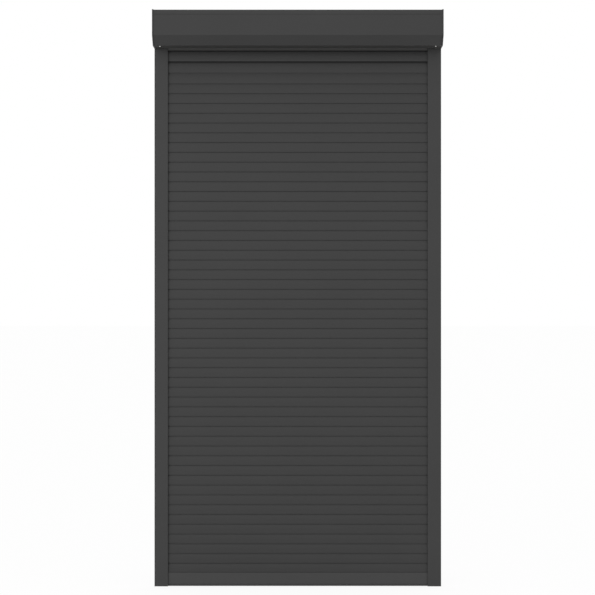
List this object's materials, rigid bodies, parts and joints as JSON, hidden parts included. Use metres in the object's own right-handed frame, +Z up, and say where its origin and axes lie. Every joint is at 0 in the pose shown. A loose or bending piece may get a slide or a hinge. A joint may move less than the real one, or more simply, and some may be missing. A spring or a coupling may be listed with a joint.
{
  "type": "exterior roller shutter",
  "caption": "Closed exterior roller shutter: slatted curtain between two guide rails under a box with a 45 degree front.",
  "frame": {"origin": "middle of the width and of the box's depth, level with the feet of the guide rails", "axes": "+Z up, +X to the right seen from outside, -Y outwards and +Y towards the wall"},
  "size_m": [1.132, 0.137, 2.26],
  "materials": {
    "box_and_caps": "anthracite powder coat, semi-matt",
    "rails": "anthracite powder coat, semi-matt",
    "curtain": "anthracite powder coat on hollow extruded slats, semi-matt",
    "bottom_bar": "anthracite powder coat, semi-matt",
    "seals": "black rubber, matt",
    "plastic_parts": "black moulded plastic",
    "steel_parts": "zinc-plated steel",
    "shaft_steel": "galvanised steel",
    "motor_casing": "light grey painted steel tube",
    "bearing_steel": "ground bearing steel",
    "screws": "bare stainless steel"
  },
  "bodies": {
    "frame": {"guide_rail_left": "rails", "guide_rail_right": "rails", "rail_gasket_left_front": "seals", "rail_gasket_left_rear": "seals", "rail_gasket_right_front": "seals", "rail_gasket_right_rear": "seals", "rail_foot_plug_left": "plastic_parts", "rail_foot_plug_right": "plastic_parts", "rear_shell": "box_and_caps", "inspection_cover": "box_and_caps", "cover_screws": "screws", "shell_rivets": "box_and_caps", "end_cap_left": "box_and_caps", "end_cap_right": "box_and_caps", "inlet_funnel_left": "plastic_parts", "inlet_funnel_right": "plastic_parts", "bearing_outer_ring": "bearing_steel", "bearing_seals": "seals", "motor_tube": "motor_casing", "motor_head": "plastic_parts", "motor_bracket": "steel_parts", "motor_bracket_screws": "steel_parts", "motor_clip": "steel_parts", "cable_bush": "seals"},
    "shaft": {"shaft_tube": "shaft_steel", "idler_capsule": "plastic_parts", "idler_pin": "steel_parts", "capsule_screws": "steel_parts", "bearing_inner_ring": "bearing_steel", "limit_crown": "plastic_parts", "drive_wheel": "plastic_parts", "suspension_straps": "steel_parts", "strap_rivets": "steel_parts"},
    "bottom_bar": {"bottom_rail": "bottom_bar", "bottom_seal": "seals", "bottom_rail_plugs": "plastic_parts", "slats_01": "curtain"},
    "curtain_run_02": {"slats_02": "curtain"},
    "curtain_run_03": {"slats_03": "curtain"},
    "curtain_run_04": {"slats_04": "curtain"},
    "curtain_run_05": {"slats_05": "curtain"},
    "curtain_run_06": {"slats_06": "curtain"},
    "curtain_run_07": {"slats_07": "curtain"},
    "curtain_run_08": {"slats_08": "curtain"},
    "curtain_run_09": {"slats_09": "curtain"},
    "curtain_run_10": {"slats_10": "curtain"},
    "curtain_run_11": {"slats_11": "curtain"},
    "curtain_run_12": {"slats_12": "curtain"},
    "curtain_run_13": {"slats_13": "curtain"},
    "curtain_run_14": {"slats_14": "curtain"},
    "curtain_run_15": {"slats_15": "curtain"},
    "curtain_run_16": {"slats_16": "curtain"},
    "curtain_run_17": {"slats_17": "curtain"},
    "curtain_run_18": {"slats_18": "curtain", "strap_hooks": "plastic_parts"}
  },
  "joints": [
    {"name": "curtain_raise", "type": "slide", "parent": "frame", "child": "bottom_bar", "axis": [0, 0, 1], "range_m": [0, 2.066]},
    {"name": "curtain_run_02_raise", "type": "slide", "parent": "frame", "child": "curtain_run_02", "axis": [0, 0, 1], "range_m": [0, 1.95456], "deforming": ["slats_02"]},
    {"name": "curtain_run_03_raise", "type": "slide", "parent": "frame", "child": "curtain_run_03", "axis": [0, 0, 1], "range_m": [0, 1.83882], "deforming": ["slats_03"]},
    {"name": "curtain_run_04_raise", "type": "slide", "parent": "frame", "child": "curtain_run_04", "axis": [0, 0, 1], "range_m": [0, 1.72308], "deforming": ["slats_04"]},
    {"name": "curtain_run_05_raise", "type": "slide", "parent": "frame", "child": "curtain_run_05", "axis": [0, 0, 1], "range_m": [0, 1.60734], "deforming": ["slats_05"]},
    {"name": "curtain_run_06_raise", "type": "slide", "parent": "frame", "child": "curtain_run_06", "axis": [0, 0, 1], "range_m": [0, 1.49161], "deforming": ["slats_06"]},
    {"name": "curtain_run_07_raise", "type": "slide", "parent": "frame", "child": "curtain_run_07", "axis": [0, 0, 1], "range_m": [0, 1.37587], "deforming": ["slats_07"]},
    {"name": "curtain_run_08_raise", "type": "slide", "parent": "frame", "child": "curtain_run_08", "axis": [0, 0, 1], "range_m": [0, 1.26013], "deforming": ["slats_08"]},
    {"name": "curtain_run_09_raise", "type": "slide", "parent": "frame", "child": "curtain_run_09", "axis": [0, 0, 1], "range_m": [0, 1.14439], "deforming": ["slats_09"]},
    {"name": "curtain_run_10_raise", "type": "slide", "parent": "frame", "child": "curtain_run_10", "axis": [0, 0, 1], "range_m": [0, 1.02865], "deforming": ["slats_10"]},
    {"name": "curtain_run_11_raise", "type": "slide", "parent": "frame", "child": "curtain_run_11", "axis": [0, 0, 1], "range_m": [0, 0.91291], "deforming": ["slats_11"]},
    {"name": "curtain_run_12_raise", "type": "slide", "parent": "frame", "child": "curtain_run_12", "axis": [0, 0, 1], "range_m": [0, 0.79717], "deforming": ["slats_12"]},
    {"name": "curtain_run_13_raise", "type": "slide", "parent": "frame", "child": "curtain_run_13", "axis": [0, 0, 1], "range_m": [0, 0.68143], "deforming": ["slats_13"]},
    {"name": "curtain_run_14_raise", "type": "slide", "parent": "frame", "child": "curtain_run_14", "axis": [0, 0, 1], "range_m": [0, 0.56569], "deforming": ["slats_14"]},
    {"name": "curtain_run_15_raise", "type": "slide", "parent": "frame", "child": "curtain_run_15", "axis": [0, 0, 1], "range_m": [0, 0.44996], "deforming": ["slats_15"]},
    {"name": "curtain_run_16_raise", "type": "slide", "parent": "frame", "child": "curtain_run_16", "axis": [0, 0, 1], "range_m": [0, 0.33422], "deforming": ["slats_16"]},
    {"name": "curtain_run_17_raise", "type": "slide", "parent": "frame", "child": "curtain_run_17", "axis": [0, 0, 1], "range_m": [0, 0.21848], "deforming": ["slats_17"]},
    {"name": "curtain_run_18_raise", "type": "slide", "parent": "frame", "child": "curtain_run_18", "axis": [0, 0, 1], "range_m": [0, 0.07464], "deforming": ["slats_18", "strap_hooks"]},
    {"name": "shaft_turn", "type": "hinge", "parent": "frame", "child": "shaft", "pos_m": [0, 0, 2.1915], "axis": [1, 0, 0], "range_deg": [0, 2521], "deforming": ["suspension_straps"]}
  ],
  "couplings": [
    {"joint": "curtain_run_02_raise", "follows": "curtain_raise", "ratio": 0.94582},
    {"joint": "curtain_run_03_raise", "follows": "curtain_raise", "ratio": 0.8898},
    {"joint": "curtain_run_04_raise", "follows": "curtain_raise", "ratio": 0.83378},
    {"joint": "curtain_run_05_raise", "follows": "curtain_raise", "ratio": 0.77776},
    {"joint": "curtain_run_06_raise", "follows": "curtain_raise", "ratio": 0.72174},
    {"joint": "curtain_run_07_raise", "follows": "curtain_raise", "ratio": 0.66571},
    {"joint": "curtain_run_08_raise", "follows": "curtain_raise", "ratio": 0.60969},
    {"joint": "curtain_run_09_raise", "follows": "curtain_raise", "ratio": 0.55367},
    {"joint": "curtain_run_10_raise", "follows": "curtain_raise", "ratio": 0.49765},
    {"joint": "curtain_run_11_raise", "follows": "curtain_raise", "ratio": 0.44163},
    {"joint": "curtain_run_12_raise", "follows": "curtain_raise", "ratio": 0.38561},
    {"joint": "curtain_run_13_raise", "follows": "curtain_raise", "ratio": 0.32959},
    {"joint": "curtain_run_14_raise", "follows": "curtain_raise", "ratio": 0.27357},
    {"joint": "curtain_run_15_raise", "follows": "curtain_raise", "ratio": 0.21755},
    {"joint": "curtain_run_16_raise", "follows": "curtain_raise", "ratio": 0.16153},
    {"joint": "curtain_run_17_raise", "follows": "curtain_raise", "ratio": 0.10551},
    {"joint": "curtain_run_18_raise", "follows": "curtain_raise", "ratio": 0.035885},
    {"joint": "shaft_turn", "follows": "curtain_raise", "rad_per_m": 21.289}
  ]
}
